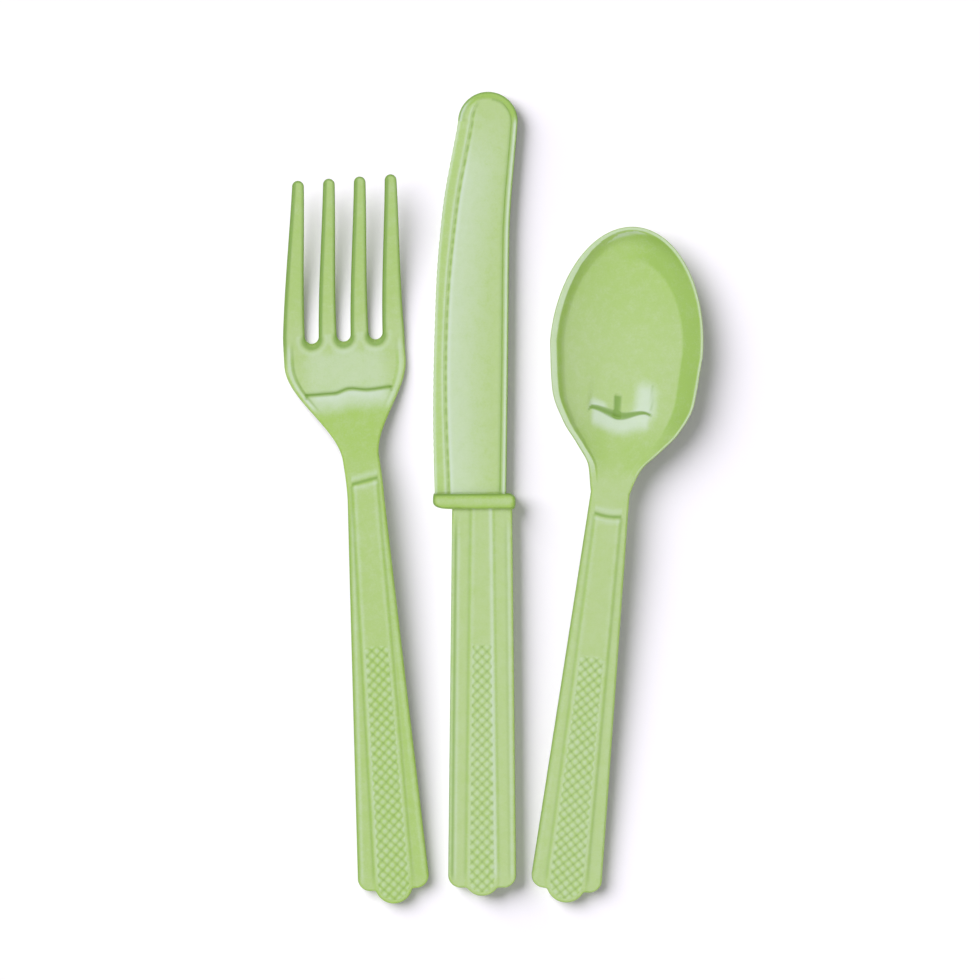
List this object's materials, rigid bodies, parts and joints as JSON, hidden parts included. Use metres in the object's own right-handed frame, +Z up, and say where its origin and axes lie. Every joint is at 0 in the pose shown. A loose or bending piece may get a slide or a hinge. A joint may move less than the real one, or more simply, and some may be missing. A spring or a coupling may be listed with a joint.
{
  "type": "plastic cutlery set",
  "caption": "Disposable moulded plastic fork, knife and spoon with hollow-backed handles and a textured centre panel, laid side by side.",
  "frame": {"origin": "middle of the set's footprint, on the table that the three pieces lie on", "axes": "+Y from the handle ends towards the tips along the knife, +X to the right as seen from above, +Z up"},
  "size_m": [0.0988, 0.1912, 0.0099],
  "materials": {
    "green_plastic": "glossy injection-moulded polystyrene, pale lime green, slightly translucent"
  },
  "bodies": {
    "root": {"fork": "green_plastic", "knife": "green_plastic", "spoon": "green_plastic"}
  },
  "joints": []
}
